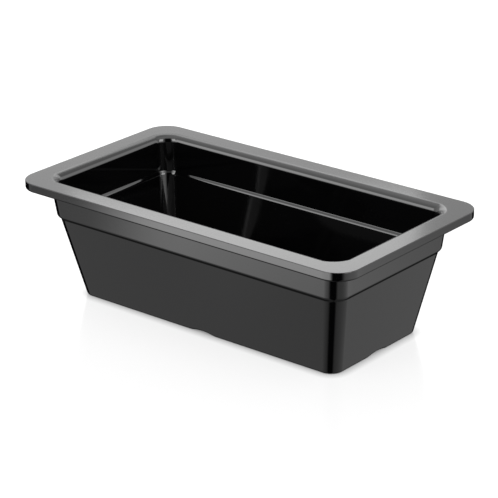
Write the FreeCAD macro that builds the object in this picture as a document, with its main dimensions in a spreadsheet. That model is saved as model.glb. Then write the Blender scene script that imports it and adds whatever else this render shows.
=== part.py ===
import FreeCAD, Part
import Sketcher
import math
import os

# Deli food pan: a third-size gastronorm pan, 100 mm deep, compression moulded in one piece.
#
# Millimetres, +Z up. The origin is the middle of the face that the pan stands on, +X runs along
# the long side. An "inset" is a horizontal distance in from the rim's outer outline, and a
# "depth" is a distance down from the rim's top face.
#
# From the top down the outside is: a flat rim, an upright collar that drops into the counter
# cut-out, a sloping shoulder, a lower wall with more draft, and a foot ring. The well follows it
# on the inside, with a sloping ledge level with the shoulder, so that pans lift out of a stack.

document = FreeCAD.newDocument("deli_food_pan")

SIZES = (
    # alias, value, what it is
    ("length", 325, "rim, overall, along X: third-size gastronorm"),
    ("width", 176, "rim, overall, along Y: third-size gastronorm"),
    ("height", 100, "overall, from the foot ring to the rim's top face"),
    ("rim_corner", 18.8, "radius of the rim's outer corners"),
    ("rim_thick", 7.3, "thickness of the rim"),
    ("rim_edge", 0.6, "rounding of the rim's top outer edge"),
    ("lip_edge", 1.7, "rounding of the rim's bottom outer edge"),
    ("rim_reach", 16.2, "how far the rim stands out from the top of the collar"),
    ("rim_roll", 6.5, "rounding from the rim's top face into the well"),
    ("rim_root", 1.5, "rounding where the collar meets the rim's underside"),
    ("collar_corner", 12.8, "radius of the collar's corners, outside and inside"),
    ("collar_depth", 31.2, "depth at which the collar ends"),
    ("collar_draft", 6, "draft of the collar, degrees from upright"),
    ("collar_wall", 4.8, "thickness of the collar, measured level"),
    ("shoulder_fall", 2.2, "height of the sloping shoulder under the collar"),
    ("shoulder_step", 1.9, "how far the shoulder steps in"),
    ("shoulder_round", 4.2, "rounding of the shoulder's outer edge"),
    ("shoulder_root", 2.5, "rounding where the shoulder meets the lower wall"),
    ("wall_draft", 11.6, "draft of the lower wall, degrees from upright"),
    ("wall_thick", 4.7, "thickness of the lower wall, measured level"),
    ("foot_corner", 11, "radius of the lower wall's corners at the foot"),
    ("foot_round", 2.4, "rounding of the bottom edge"),
    ("ledge_lift", 1.9, "height of the ledge's back edge above the foot of the collar"),
    ("ledge_fall", 2.1, "height of the sloping ledge inside the well"),
    ("ledge_root", 1.3, "rounding at the back of the ledge"),
    ("ledge_round", 4.2, "rounding of the ledge's front edge"),
    ("floor_thick", 4.5, "thickness of the floor"),
    ("floor_corner", 11, "radius of the well's corners at the floor"),
    ("floor_round", 9, "rounding between the well's walls and its floor"),
    ("ring_width", 8, "width of the foot ring, out to the unrounded bottom edge"),
    ("ring_edge", 0.8, "rounding of the foot ring's inner edges"),
    ("notch_width", 23, "width of the drain notch in the middle of each side of the foot ring"),
    ("notch_rise", 1.5, "height of the drain notch in its middle"),
    ("notch_cover", 1, "how far the floor's underside stands above the top of the drain notch"),
)

sizes = document.addObject("Spreadsheet::Sheet", "sizes")
for row, (alias, value, meaning) in enumerate(SIZES, start=1):
    sizes.set(f"A{row}", alias)
    sizes.set(f"B{row}", str(value))
    sizes.setAlias(f"B{row}", alias)
    sizes.set(f"C{row}", meaning)
document.recompute()

# The sketcher's numbers for a curve's start, its end and an arc's centre, and for the origin.
BEGIN, END, CENTRE = 1, 2, 3
ORIGIN = -1

# Heights that follow from the sizes, as expressions on the sheet.
RIM_UNDERSIDE = "(sizes.height - sizes.rim_thick)"
COLLAR_FOOT = "(sizes.height - sizes.collar_depth)"
WALL_TOP = f"({COLLAR_FOOT} - sizes.shoulder_fall)"
LEDGE_BACK = f"({COLLAR_FOOT} + sizes.ledge_lift)"
LEDGE_FRONT = f"({LEDGE_BACK} - sizes.ledge_fall)"
UNDERSIDE = "(sizes.notch_rise + sizes.notch_cover)"
FLOOR = f"({UNDERSIDE} + sizes.floor_thick)"


def collar_inset(level):
    """Inset of the collar's outer face, carried on to the given height."""
    return f"(sizes.rim_reach + ({RIM_UNDERSIDE} - {level}) * tan(sizes.collar_draft))"


def wall_inset(level):
    """Inset of the lower wall's outer face, carried on to the given height."""
    shoulder_foot = f"({collar_inset(COLLAR_FOOT)} + sizes.shoulder_step)"
    return f"({shoulder_foot} + ({WALL_TOP} - {level}) * tan(sizes.wall_draft))"


def measured(expression):
    """The value of an expression on the sheet, in millimetres."""
    return float(sizes.evalExpression(expression))


def origin_plane(body, role):
    """The body's own origin plane with this role, such as XY_Plane."""
    return next(plane for plane in body.Origin.OriginFeatures if plane.Role == role)


def rounded_rectangle(body, name, level, inset, corner):
    """A level sketch of a rounded rectangle about the pan's middle, fully constrained."""
    sketch = body.newObject("Sketcher::SketchObject", name)
    sketch.AttachmentSupport = [(origin_plane(body, "XY_Plane"), "")]
    sketch.MapMode = "FlatFace"
    sketch.setExpression("AttachmentOffset.Base.z", level)

    # A starting shape near the real one; the constraints below set the true sizes.
    half_x = measured("sizes.length") / 2
    half_y = measured("sizes.width") / 2
    radius = measured(corner)
    up = FreeCAD.Vector(0, 0, 1)
    centres = [(side_x * (half_x - radius), side_y * (half_y - radius))
               for side_x, side_y in ((1, 1), (-1, 1), (-1, -1), (1, -1))]
    for quarter, (x, y) in enumerate(centres):
        circle = Part.Circle(FreeCAD.Vector(x, y, 0), up, radius)
        start = quarter * math.pi / 2
        sketch.addGeometry(Part.ArcOfCircle(circle, start, start + math.pi / 2))
    for quarter in range(4):
        start = sketch.Geometry[quarter].EndPoint
        end = sketch.Geometry[(quarter + 1) % 4].StartPoint
        sketch.addGeometry(Part.LineSegment(start, end))

    for quarter in range(4):
        line = 4 + quarter
        following = (quarter + 1) % 4
        sketch.addConstraint(Sketcher.Constraint("Tangent", quarter, END, line, BEGIN))
        sketch.addConstraint(Sketcher.Constraint("Tangent", line, END, following, BEGIN))
    back, left, front, right = 4, 5, 6, 7
    sketch.addConstraint(Sketcher.Constraint("Horizontal", back))
    sketch.addConstraint(Sketcher.Constraint("Vertical", left))
    sketch.addConstraint(Sketcher.Constraint("Horizontal", front))
    sketch.addConstraint(Sketcher.Constraint("Vertical", right))
    for quarter in (1, 2, 3):
        sketch.addConstraint(Sketcher.Constraint("Equal", 0, quarter))
    sketch.addConstraint(Sketcher.Constraint("Symmetric", 0, CENTRE, 2, CENTRE, ORIGIN, BEGIN))
    spans = (
        ("corner", Sketcher.Constraint("Radius", 0, radius), corner),
        ("long_side", Sketcher.Constraint("DistanceX", left, BEGIN, right, BEGIN, 2 * half_x),
         f"sizes.length - 2 * {inset}"),
        ("short_side", Sketcher.Constraint("DistanceY", front, BEGIN, back, BEGIN, 2 * half_y),
         f"sizes.width - 2 * {inset}"),
    )
    for label, constraint, expression in spans:
        index = sketch.addConstraint(constraint)
        sketch.renameConstraint(index, label)
        sketch.setExpression(f"Constraints.{label}", expression)
    return sketch


def loft(body, kind, name, sections):
    """Straight-sided walls drawn through the sections, added to or cut from the body."""
    feature = body.newObject(f"PartDesign::{kind}Loft", name)
    feature.Profile = sections[0]
    feature.Sections = sections[1:]
    feature.Ruled = True
    document.recompute()


def edges_at(body, level, beyond=None, within=None):
    """Names of the tip's level edges at one height, by how far in from the outline they lie."""
    shape = body.Tip.Shape
    half_x = measured("sizes.length") / 2
    half_y = measured("sizes.width") / 2
    height = measured(level)
    names = []
    for number, edge in enumerate(shape.Edges, start=1):
        box = edge.BoundBox
        if abs(box.ZMin - height) > 0.01 or abs(box.ZMax - height) > 0.01:
            continue
        middle = edge.valueAt((edge.FirstParameter + edge.LastParameter) / 2)
        inset = min(half_x - abs(middle.x), half_y - abs(middle.y))
        if beyond is not None and inset < measured(beyond):
            continue
        if within is not None and inset > measured(within):
            continue
        names.append(f"Edge{number}")
    return names


def fillet(body, name, edges, radius):
    """Rounds the named edges of the body's tip."""
    rounded = body.Tip
    feature = body.newObject("PartDesign::Fillet", name)
    feature.Base = (rounded, edges)
    feature.setExpression("Radius", radius)
    document.recompute()


# --- Outside: foot, lower wall, shoulder and collar in one loft, with the rim on top ---------

pan = document.addObject("PartDesign::Body", "pan")
pan.Label = "pan"

foot_outline = rounded_rectangle(pan, "foot_outline", "0", wall_inset("0"), "sizes.foot_corner")
wall_top_outline = rounded_rectangle(
    pan, "wall_top_outline", WALL_TOP, wall_inset(WALL_TOP), "sizes.collar_corner")
collar_foot_outline = rounded_rectangle(
    pan, "collar_foot_outline", COLLAR_FOOT, collar_inset(COLLAR_FOOT), "sizes.collar_corner")
collar_top_outline = rounded_rectangle(
    pan, "collar_top_outline", RIM_UNDERSIDE, "sizes.rim_reach", "sizes.collar_corner")
loft(pan, "Additive", "outer_walls",
     [foot_outline, wall_top_outline, collar_foot_outline, collar_top_outline])

rim_outline = rounded_rectangle(pan, "rim_outline", RIM_UNDERSIDE, "0", "sizes.rim_corner")
rim = pan.newObject("PartDesign::Pad", "rim")
rim.Profile = rim_outline
rim.setExpression("Length", "sizes.rim_thick")
document.recompute()

fillet(pan, "rim_edge_round", edges_at(pan, "sizes.height"), "sizes.rim_edge")
fillet(pan, "lip_edge_round",
       edges_at(pan, RIM_UNDERSIDE, within="sizes.rim_reach / 2"), "sizes.lip_edge")
fillet(pan, "rim_root_round",
       edges_at(pan, RIM_UNDERSIDE, beyond="sizes.rim_reach - 0.5"), "sizes.rim_root")
fillet(pan, "shoulder_round", edges_at(pan, COLLAR_FOOT), "sizes.shoulder_round")
fillet(pan, "shoulder_root_round", edges_at(pan, WALL_TOP), "sizes.shoulder_root")
fillet(pan, "foot_edge_round", edges_at(pan, "0"), "sizes.foot_round")

# --- Inside: the well, cut from the rim's top face down to the floor -------------------------

well_mouth = rounded_rectangle(
    pan, "well_mouth", "sizes.height",
    f"({collar_inset('sizes.height')} + sizes.collar_wall)", "sizes.collar_corner")
ledge_back_outline = rounded_rectangle(
    pan, "ledge_back_outline", LEDGE_BACK,
    f"({collar_inset(LEDGE_BACK)} + sizes.collar_wall)", "sizes.collar_corner")
ledge_front_outline = rounded_rectangle(
    pan, "ledge_front_outline", LEDGE_FRONT,
    f"({wall_inset(LEDGE_FRONT)} + sizes.wall_thick)", "sizes.floor_corner")
floor_outline = rounded_rectangle(
    pan, "floor_outline", FLOOR, f"({wall_inset(FLOOR)} + sizes.wall_thick)", "sizes.floor_corner")
loft(pan, "Subtractive", "well",
     [well_mouth, ledge_back_outline, ledge_front_outline, floor_outline])

fillet(pan, "rim_roll", edges_at(pan, "sizes.height", beyond="sizes.rim_reach"), "sizes.rim_roll")
fillet(pan, "ledge_root_round", edges_at(pan, LEDGE_BACK), "sizes.ledge_root")
fillet(pan, "ledge_front_round", edges_at(pan, LEDGE_FRONT), "sizes.ledge_round")
fillet(pan, "floor_round", edges_at(pan, FLOOR), "sizes.floor_round")

# --- Underside: the recess inside the foot ring, and the drain notches through the ring ------

recess_outline = rounded_rectangle(
    pan, "recess_outline", "0", f"({wall_inset('0')} + sizes.ring_width)", "sizes.foot_corner")
solid_volume = pan.Tip.Shape.Volume
recess = pan.newObject("PartDesign::Pocket", "recess")
recess.Profile = recess_outline
recess.Reversed = True
recess.setExpression("Length", UNDERSIDE)
document.recompute()
if recess.Shape.Volume >= solid_volume:
    raise RuntimeError("the recess cut nothing")
ring_inside = f"({wall_inset('0')} + sizes.ring_width - 0.5)"
fillet(pan, "ring_edge_rounds",
       edges_at(pan, "0", beyond=ring_inside) + edges_at(pan, UNDERSIDE),
       "sizes.ring_edge")


def drain_notches(name, role):
    """A shallow arch cut right through the foot ring along one level axis, both sides at once."""
    sketch = pan.newObject("Sketcher::SketchObject", f"{name}_outline")
    sketch.AttachmentSupport = [(origin_plane(pan, role), "")]
    sketch.MapMode = "FlatFace"
    half = measured("sizes.notch_width") / 2
    rise = measured("sizes.notch_rise")
    arch = Part.Arc(FreeCAD.Vector(half, 0, 0), FreeCAD.Vector(0, rise, 0),
                    FreeCAD.Vector(-half, 0, 0))
    sketch.addGeometry(arch)
    sketch.addGeometry(Part.LineSegment(FreeCAD.Vector(-half, 0, 0), FreeCAD.Vector(half, 0, 0)))
    sketch.addConstraint(Sketcher.Constraint("Coincident", 0, END, 1, BEGIN))
    sketch.addConstraint(Sketcher.Constraint("Coincident", 0, BEGIN, 1, END))
    sketch.addConstraint(Sketcher.Constraint("Symmetric", 1, BEGIN, 1, END, ORIGIN, BEGIN))
    sketch.addConstraint(Sketcher.Constraint("Horizontal", 1))
    width = sketch.addConstraint(Sketcher.Constraint("DistanceX", 1, BEGIN, 1, END, 2 * half))
    sketch.renameConstraint(width, "notch_width")
    sketch.setExpression("Constraints.notch_width", "sizes.notch_width")
    radius = sketch.addConstraint(Sketcher.Constraint(
        "Radius", 0, (half * half + rise * rise) / (2 * rise)))
    sketch.renameConstraint(radius, "arch")
    sketch.setExpression(
        "Constraints.arch",
        "((sizes.notch_width / 2)^2 + sizes.notch_rise^2) / (2 * sizes.notch_rise)")

    before = pan.Tip.Shape.Volume
    notches = pan.newObject("PartDesign::Pocket", name)
    notches.Profile = sketch
    notches.Type = "ThroughAll"
    notches.Midplane = True
    document.recompute()
    if notches.Shape.Volume >= before:
        raise RuntimeError(f"{name} cut nothing")


drain_notches("long_side_notches", "XZ_Plane")
drain_notches("short_side_notches", "YZ_Plane")

# --- Check and write -------------------------------------------------------------------------

for item in document.Objects:
    if "Invalid" in item.State or "Error" in item.State:
        raise RuntimeError(f"{item.Name} failed: {item.State}")
if pan.Shape.isNull() or not pan.Shape.isValid() or len(pan.Shape.Solids) != 1:
    raise RuntimeError("the pan is not one valid solid")

os.makedirs("parts", exist_ok=True)
pan.Shape.exportStep("parts/pan.step")
print(f"pan: {pan.Shape.Volume / 1000:.1f} cm3, box {pan.Shape.BoundBox}")
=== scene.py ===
import math

import bpy
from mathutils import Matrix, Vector


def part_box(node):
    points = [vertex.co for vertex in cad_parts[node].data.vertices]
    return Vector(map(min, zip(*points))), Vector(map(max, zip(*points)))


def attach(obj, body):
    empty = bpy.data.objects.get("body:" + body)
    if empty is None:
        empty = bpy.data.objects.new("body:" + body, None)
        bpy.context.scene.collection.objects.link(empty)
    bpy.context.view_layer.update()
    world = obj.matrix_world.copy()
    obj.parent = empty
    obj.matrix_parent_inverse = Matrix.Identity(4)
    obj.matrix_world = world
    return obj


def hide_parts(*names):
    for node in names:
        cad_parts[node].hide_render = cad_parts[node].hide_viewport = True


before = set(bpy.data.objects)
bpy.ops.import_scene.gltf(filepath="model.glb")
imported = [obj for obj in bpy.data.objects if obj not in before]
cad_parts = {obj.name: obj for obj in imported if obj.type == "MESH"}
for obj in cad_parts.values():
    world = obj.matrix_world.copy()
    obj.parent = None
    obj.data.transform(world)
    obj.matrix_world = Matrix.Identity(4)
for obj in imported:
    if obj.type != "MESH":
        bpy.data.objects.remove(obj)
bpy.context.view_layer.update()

# --- Food pan ---------------------------------------------------------------------------------
# A third-size pan for a deli counter: flat rim, upright collar, sloping shoulder, tapered wall
# and a notched foot ring. It is one compression moulding in black melamine, glossy from the
# polished mould all over but for the rim's top face, which is left satin.

MM = 0.001
pan_low, pan_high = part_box("pan")
half_long = (pan_high.x - pan_low.x) / 2 / MM
half_short = (pan_high.y - pan_low.y) / 2 / MM
rim_top = (pan_high.z - pan_low.z) / MM

rim_corner = 18.8
rim_underside = rim_top - 7.3
rim_edge = 0.6
lip_edge = 1.7
rim_reach = 16.2
rim_roll = 6.5
rim_root = 1.5
body_corner = 12.8
collar_foot = rim_top - 31.2
collar_slope = math.tan(math.radians(6.0))
collar_wall = 4.8
shoulder_fall = 2.2
shoulder_step = 1.9
shoulder_round = 4.2
shoulder_root = 2.5
wall_top = collar_foot - shoulder_fall
wall_slope = math.tan(math.radians(11.6))
wall_thick = 4.7
foot_corner = 11.0
foot_round = 2.4
ledge_back = collar_foot + 1.9
ledge_front = ledge_back - 2.1
ledge_root = 1.3
ledge_round = 4.2
notch_width = 23.0
notch_rise = 1.5
underside = notch_rise + 1.0
floor_level = underside + 4.5
floor_round = 9.0
ring_width = 8.0
ring_edge = 0.8
flat_margin = 16.0


def collar_inset(level):
    """How far in from the rim's outline the collar's outer face is at a height."""
    return rim_reach + (rim_underside - level) * collar_slope


def wall_inset(level):
    """How far in from the rim's outline the lower wall's outer face is at a height."""
    return collar_inset(collar_foot) + shoulder_step + (wall_top - level) * wall_slope


def pan_section(lift):
    """The wall's section, from the floor up the well, over the rim and down to the underside.

    Each corner of it has an inset, a height, the corner radius in plan and its own rounding.
    lift is how far the foot ring's face is raised there by a drain notch.
    """
    floor_inset = wall_inset(floor_level) + wall_thick
    ring_inset = wall_inset(0) + ring_width
    inner_edge = min(ring_edge, (underside - lift) * 0.45)
    return (
        (floor_inset + flat_margin, floor_level, foot_corner, 0),
        (floor_inset, floor_level, foot_corner, floor_round),
        (wall_inset(ledge_front) + wall_thick, ledge_front, foot_corner, ledge_round),
        (collar_inset(ledge_back) + collar_wall, ledge_back, body_corner, ledge_root),
        (collar_inset(rim_top) + collar_wall, rim_top, body_corner, rim_roll),
        (0, rim_top, rim_corner, rim_edge),
        (0, rim_underside, rim_corner, lip_edge),
        (rim_reach, rim_underside, body_corner, rim_root),
        (collar_inset(collar_foot), collar_foot, body_corner, shoulder_round),
        (wall_inset(wall_top), wall_top, body_corner, shoulder_root),
        (wall_inset(lift), lift, foot_corner, foot_round),
        (ring_inset, lift, foot_corner, inner_edge),
        (ring_inset, underside, foot_corner, inner_edge),
        (ring_inset + flat_margin, underside, foot_corner, 0),
    )


def stations_round(corner_steps, long_steps, short_steps):
    """Places round the outline: shares of the way to the corner centres, and the outward angle.

    They run anticlockwise from the middle of the +X side, closer together mid-side where the
    drain notches are.
    """
    corners = ((1, 1), (-1, 1), (-1, -1), (1, -1))
    places = []
    for quarter, (x, y) in enumerate(corners):
        for step in range(corner_steps + 1):
            places.append((x, y, math.radians(90 * (quarter + step / corner_steps))))
        next_x, next_y = corners[(quarter + 1) % 4]
        steps = long_steps if quarter % 2 == 0 else short_steps
        for step in range(1, steps):
            even = 2 * step / steps - 1
            share = (1 + (even + even ** 3) / 2) / 2
            places.append((x + (next_x - x) * share, y + (next_y - y) * share,
                           math.radians(90 * (quarter + 1))))
    lead = short_steps // 2
    return places[-lead:] + places[:-lead]


def notch_lift(across, along_side):
    """How far a drain notch raises the foot ring at a distance from the middle of its side."""
    arch = (notch_width ** 2 / 4 + notch_rise ** 2) / (2 * notch_rise)
    if not along_side or abs(across) >= notch_width / 2:
        return 0.0
    return math.sqrt(arch ** 2 - across ** 2) - (arch - notch_rise)


def rounded_corner(before, corner, after, radius, steps):
    """Points of the arc that rounds one corner of the section, as (out, along, height)."""
    enter = Vector((corner.x - before.x, corner.z - before.z))
    leave = Vector((after.x - corner.x, after.z - corner.z))
    enter_length, leave_length = enter.length, leave.length
    enter.normalize()
    leave.normalize()
    turn = math.acos(max(-1.0, min(1.0, enter.dot(leave))))
    cut = radius * math.tan(turn / 2)
    inward = (leave - enter * math.cos(turn)) / math.sin(turn)
    start = corner.lerp(before, cut / enter_length)
    end_along = corner.lerp(after, cut / leave_length).y
    points = []
    for step in range(steps + 1):
        angle = turn * step / steps
        offset = (enter * math.sin(angle) + inward * (1 - math.cos(angle))) * radius
        along = start.y + (end_along - start.y) * step / steps
        points.append(Vector((start.x + offset.x, along, start.z + offset.y)))
    return points


# Steps of each rounding in the section, in its order, from the floor to the recess.
rounding_steps = (12, 6, 6, 12, 8, 8, 6, 6, 6, 8, 4, 4)


def pan_column(place):
    """The section's points at one place round the outline, in millimetres."""
    share_x, share_y, angle = place
    out = Vector((math.cos(angle), math.sin(angle), 0))
    side = Vector((-math.sin(angle), math.cos(angle), 0))
    on_short_side = abs(share_x) > 0.999
    foot_reach = wall_inset(0) + foot_corner
    across = share_y * (half_short - foot_reach) if on_short_side \
        else share_x * (half_long - foot_reach)
    lift = notch_lift(across, min(abs(share_x), abs(share_y)) < 0.999)
    corners, radii = [], []
    for inset, level, radius, rounding in pan_section(lift):
        centre = Vector((share_x * (half_long - inset - radius),
                         share_y * (half_short - inset - radius), 0))
        corners.append(Vector((centre.dot(out) + radius, centre.dot(side), level)))
        radii.append(rounding)
    points = [corners[0]]
    for index, steps in enumerate(rounding_steps, start=1):
        points += rounded_corner(corners[index - 1], corners[index], corners[index + 1],
                                 radii[index], steps)
    points.append(corners[-1])
    return [out * point.x + side * point.y + Vector((0, 0, point.z)) for point in points]


places = stations_round(corner_steps=20, long_steps=60, short_steps=40)
columns = [pan_column(place) for place in places]
around, up = len(columns), len(columns[0])
points = [point * MM for column in columns for point in column]
faces = []
for station in range(around):
    beside = (station + 1) % around
    for row in range(up - 1):
        faces.append((station * up + row, station * up + row + 1,
                      beside * up + row + 1, beside * up + row))
# The flat floor and its underside are closed by strips across, from one long side to the other.
for row, upward in ((0, True), (up - 1, False)):
    for station in range(around // 2):
        strip = [station, station + 1, (around - station - 1) % around, (around - station) % around]
        strip = list(dict.fromkeys(strip))
        strip = strip if upward else strip[::-1]
        faces.append(tuple(place * up + row for place in strip))

pan_mesh = bpy.data.meshes.new("pan_moulding")
pan_mesh.from_pydata(points, [], faces)
pan_mesh.update()
pan = bpy.data.objects.new("pan_moulding", pan_mesh)
bpy.context.scene.collection.objects.link(pan)
for polygon in pan_mesh.polygons:
    polygon.use_smooth = True
flats_stay_flat = pan.modifiers.new("flats_stay_flat", "WEIGHTED_NORMAL")
flats_stay_flat.weight = 100


class Wire:
    """A node tree's output socket. Arithmetic on wires adds Math nodes to the tree."""

    def __init__(self, tree, socket=None):
        self.tree = tree
        self.socket = socket

    def node(self, kind, settings=None, inputs=None, output=0):
        """A new node, with its settings and then the values or wires of its sockets."""
        made = self.tree.nodes.new(kind)
        for name, value in (settings or {}).items():
            setattr(made, name, value)
        for name, value in (inputs or {}).items():
            if isinstance(value, Wire):
                self.tree.links.new(value.socket, made.inputs[name])
            else:
                made.inputs[name].default_value = value
        return Wire(self.tree, made.outputs[output] if made.outputs else None)

    def maths(self, operation, *values):
        return self.node("ShaderNodeMath", {"operation": operation}, dict(enumerate(values)))

    def __add__(self, other):
        return self.maths("ADD", self, other)

    def __sub__(self, other):
        return self.maths("SUBTRACT", self, other)

    def __rsub__(self, other):
        return self.maths("SUBTRACT", other, self)

    def __mul__(self, other):
        return self.maths("MULTIPLY", self, other)

    def __pow__(self, other):
        return self.maths("POWER", self, other)

    __radd__ = __add__
    __rmul__ = __mul__

    def rise(self, low, high):
        """0 below low, 1 above high, and smooth between; low above high gives a fall."""
        return self.node("ShaderNodeMapRange", {"interpolation_type": "SMOOTHSTEP"},
                         {"Value": self, "From Min": low, "From Max": high})


def noise(field, where, scale, detail, roughness=0.5):
    """Noise over a place, from 0 to 1."""
    return field.node("ShaderNodeTexNoise", {},
                      {"Vector": where, "Scale": scale, "Detail": detail, "Roughness": roughness})


melamine = bpy.data.materials.new("black_melamine")
melamine.use_nodes = True
tree = melamine.node_tree
tree.nodes.clear()
field = Wire(tree)
place = field.node("ShaderNodeTexCoord", output="Object")
height = field.node("ShaderNodeSeparateXYZ", {}, {"Vector": place}, output="Z")
facing_up = field.node("ShaderNodeSeparateXYZ", {}, {
    "Vector": field.node("ShaderNodeNewGeometry", output="Normal")}, output="Z")

# The satin of the rim's top runs a little way over its rounding into the well.
on_rim = height.rise((rim_top - 2.4) * MM, (rim_top - 0.4) * MM) * facing_up.rise(0.55, 0.92)
grain = noise(field, place, 1600.0, 2.0)
flow = noise(field, place, 55.0, 3.0)
scuffs = noise(field, place, 420.0, 4.0, 0.7).rise(0.62, 0.80)

roughness = 0.05 + 0.02 * flow + on_rim * (0.10 + 0.05 * grain) + 0.03 * scuffs
# Fine grain on the satin, and a slow ripple where the resin flowed.
relief = on_rim * grain * 2.0 + flow * 0.25
bump = field.node("ShaderNodeBump", {}, {"Strength": 0.25, "Distance": 0.00003, "Height": relief})
surface = field.node("ShaderNodeBsdfPrincipled", {}, {
    "Base Color": (0.0010, 0.0010, 0.0011, 1), "Roughness": roughness, "IOR": 1.56, "Normal": bump})
field.node("ShaderNodeOutputMaterial", {}, {"Surface": surface})
pan_mesh.materials.append(melamine)

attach(pan, "root")
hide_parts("pan")

# --- Table ------------------------------------------------------------------------------------
# A white acrylic table top that glows, faintly glossy, so that the pan has a pale reflection and
# little real shadow. The narrow shadow where the pan stands is painted shade: the glow is darkened
# by ambient occlusion close round the pan. It is seen from above only. The pan's gloss sees the
# studio light's own table glow instead of it.

table_mesh = bpy.data.meshes.new("table")
table_half = 4.0
table_mesh.from_pydata([(-table_half, -table_half, 0), (table_half, -table_half, 0),
                        (table_half, table_half, 0), (-table_half, table_half, 0)],
                       [], [(0, 1, 2, 3)])
table = bpy.data.objects.new("table", table_mesh)
bpy.context.scene.collection.objects.link(table)
acrylic = bpy.data.materials.new("glowing_white_acrylic_painted_shadow")
acrylic.use_nodes = True
tree = acrylic.node_tree
tree.nodes.clear()
field = Wire(tree)
# Painted shadow: the glow is darkened by ambient occlusion within 7.5 mm of the pan, not by light.
clear_of_painted_shadow = field.node("ShaderNodeAmbientOcclusion", {"samples": 16}, {"Distance": 0.0075},
                       output="AO")
glow_with_painted_shadow = 0.25 + 0.75 * clear_of_painted_shadow
glow_colour_with_painted_shadow = field.node("ShaderNodeCombineColor", {}, {"Red": glow_with_painted_shadow, "Green": glow_with_painted_shadow, "Blue": glow_with_painted_shadow})
top = field.node("ShaderNodeBsdfPrincipled", {}, {
    "Base Color": (0.15, 0.15, 0.15, 1), "Roughness": 0.16,
    "Emission Color": glow_colour_with_painted_shadow, "Emission Strength": 0.765})
clear = field.node("ShaderNodeBsdfTransparent")
from_below = field.node("ShaderNodeNewGeometry", output="Backfacing")
seen = field.node("ShaderNodeMixShader", {}, {0: from_below, 1: top, 2: clear})
field.node("ShaderNodeOutputMaterial", {}, {"Surface": seen})
table_mesh.materials.append(acrylic)
table.visible_glossy = False

# --- Studio light -----------------------------------------------------------------------------
# Soft white light all round the pan, as from large diffusers. Bearings are in degrees from +X
# towards +Y. A dark gap is left round the camera, to the front right, and black cloth hides the
# table behind and close round the pan.

world = bpy.data.worlds.new("studio")
bpy.context.scene.world = world
world.use_nodes = True
tree = world.node_tree
tree.nodes.clear()
field = Wire(tree)
direction = field.node("ShaderNodeTexCoord", output="Generated")
east = field.node("ShaderNodeSeparateXYZ", {}, {"Vector": direction}, output="X")
north = field.node("ShaderNodeSeparateXYZ", {}, {"Vector": direction}, output="Y")
upward = field.node("ShaderNodeSeparateXYZ", {}, {"Vector": direction}, output="Z")
elevation = field.maths("ARCSINE", upward) * math.degrees(1)
bearing = field.maths("ARCTAN2", north, east) * math.degrees(1)


def angle_from(centre):
    """Degrees from a bearing, the short way round."""
    turned = (bearing - centre) * math.radians(1)
    return field.maths("ARCCOSINE", field.maths("COSINE", turned)) * math.degrees(1)


# The camera's gap turns a little to the left lower down, and closes overhead.
gap = angle_from(elevation.rise(-24.0, -34.0) * -8.0 - 55.0).rise(38.0, 17.0)
beside_gap = 1 - gap * elevation.rise(65.0, 45.0)

# The lit table below the horizon: bright to the front left, less so to the front right.
beside_cloth = angle_from(138.0).rise(56.0, 68.0)
off_pan = elevation.rise(-54.0 - 12.0 * bearing.rise(-66.0, 0.0), -42.0)
front_left = (bearing - 0.42 * (elevation + 21.0)).rise(-135.3, -132.2) * bearing.rise(-66.0, -84.0)
front_right = (bearing + 0.60 * (elevation + 22.0)).rise(57.2, 50.5) * bearing.rise(-40.0, 10.0)
table_light = beside_cloth * (0.26 + off_pan * (
    0.36 + elevation.rise(-41.0, -28.0) * 0.24
    + front_left * elevation.rise(-43.0, -20.0) ** 1.5 * 4.2
    + front_right * elevation.rise(-40.0, -27.0) * 0.7))
stray = elevation.rise(-33.0, -42.0) * 0.06

# The room above the horizon, dimmer to the back right and low down behind the pan.
overhead = elevation.rise(44.0, 60.0)
back_right = bearing.rise(131.0, 123.0) * bearing.rise(20.0, 60.0)
low_behind = angle_from(138.0).rise(60.0, 40.0) * elevation.rise(13.0, 4.0)
room = (1.97 + 0.5 * overhead) * (1 - 0.25 * back_right) * (1 - 0.75 * low_behind)

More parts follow.
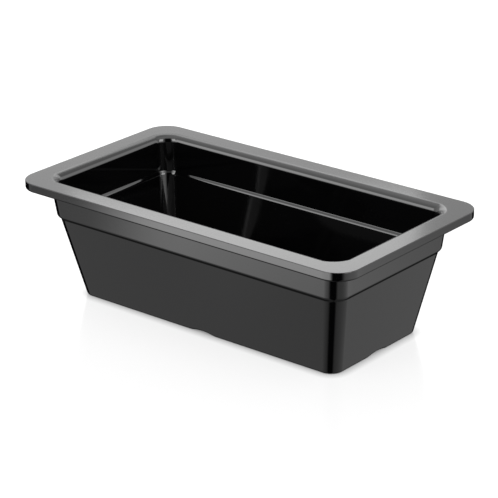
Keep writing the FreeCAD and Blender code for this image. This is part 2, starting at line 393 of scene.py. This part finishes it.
# Long diffusers to the left and the right, and a softbox on each side of the camera.
left_strip = bearing.rise(-142.0, -134.0) * bearing.rise(-108.0, -116.0) * 3.9
right_strip = bearing.rise(16.0, 28.0) * bearing.rise(84.0, 72.0) * 1.5
strips = (left_strip + right_strip) * elevation.rise(3.0, 11.0) * elevation.rise(36.0, 27.0)
softboxes = ((angle_from(-98.0).rise(17.0, 12.0) + angle_from(-3.0).rise(17.0, 12.0))
             * elevation.rise(13.0, 19.0) * elevation.rise(50.0, 42.0) * 6.0)

above = elevation.rise(-12.0, 2.0)
strength = beside_gap * ((table_light + stray) * (1 - above) + room * above + strips + softboxes)
background = field.node("ShaderNodeBackground", {}, {"Strength": strength})
white = field.node("ShaderNodeBackground", {}, {"Strength": 1.0, "Color": (1, 1, 1, 1)})
looking = field.node("ShaderNodeLightPath", output="Is Camera Ray")
shown = field.node("ShaderNodeMixShader", {}, {0: looking, 1: background, 2: white})
field.node("ShaderNodeOutputWorld", {}, {"Surface": shown})

# A diffuser close behind the pan, its lower edge above the rim, lights the satin rim top.
back_light = bpy.data.lights.new("back_diffuser", "AREA")
back_light.shape = "RECTANGLE"
back_light.size = 0.320
back_light.size_y = 0.15
back_light.energy = 4 * back_light.size * back_light.size_y * 1.2
back_diffuser = bpy.data.objects.new("back_diffuser", back_light)
bpy.context.scene.collection.objects.link(back_diffuser)
behind = Vector((math.cos(math.radians(130.0)), math.sin(math.radians(130.0)), 0))
back_diffuser.location = behind * 0.300 + Vector((0, 0, rim_top * MM + 0.188))
back_diffuser.rotation_euler = (-behind).to_track_quat("-Z", "Y").to_euler()
back_diffuser.visible_camera = False

# --- Camera -----------------------------------------------------------------------------------
# A long lens from the front right, looking down at 22 degrees.

camera_data = bpy.data.cameras.new("camera")
camera_data.sensor_width = 36.0
camera_data.lens = 158.86
camera = bpy.data.objects.new("camera", camera_data)
bpy.context.scene.collection.objects.link(camera)
azimuth, tilt, roll = math.radians(40.0), math.radians(21.99), math.radians(0.82)
back = Vector((math.sin(azimuth) * math.cos(tilt), -math.cos(azimuth) * math.cos(tilt),
               math.sin(tilt)))
target = Vector((-2.91, 7.50, rim_top / 2)) * MM
camera.location = target + back * 1.72468
camera.rotation_euler = (-back).to_track_quat("-Z", "Y").to_euler()
camera.rotation_euler.rotate_axis("Z", -roll)
bpy.context.scene.camera = camera
bpy.context.scene.view_settings.view_transform = "Standard"
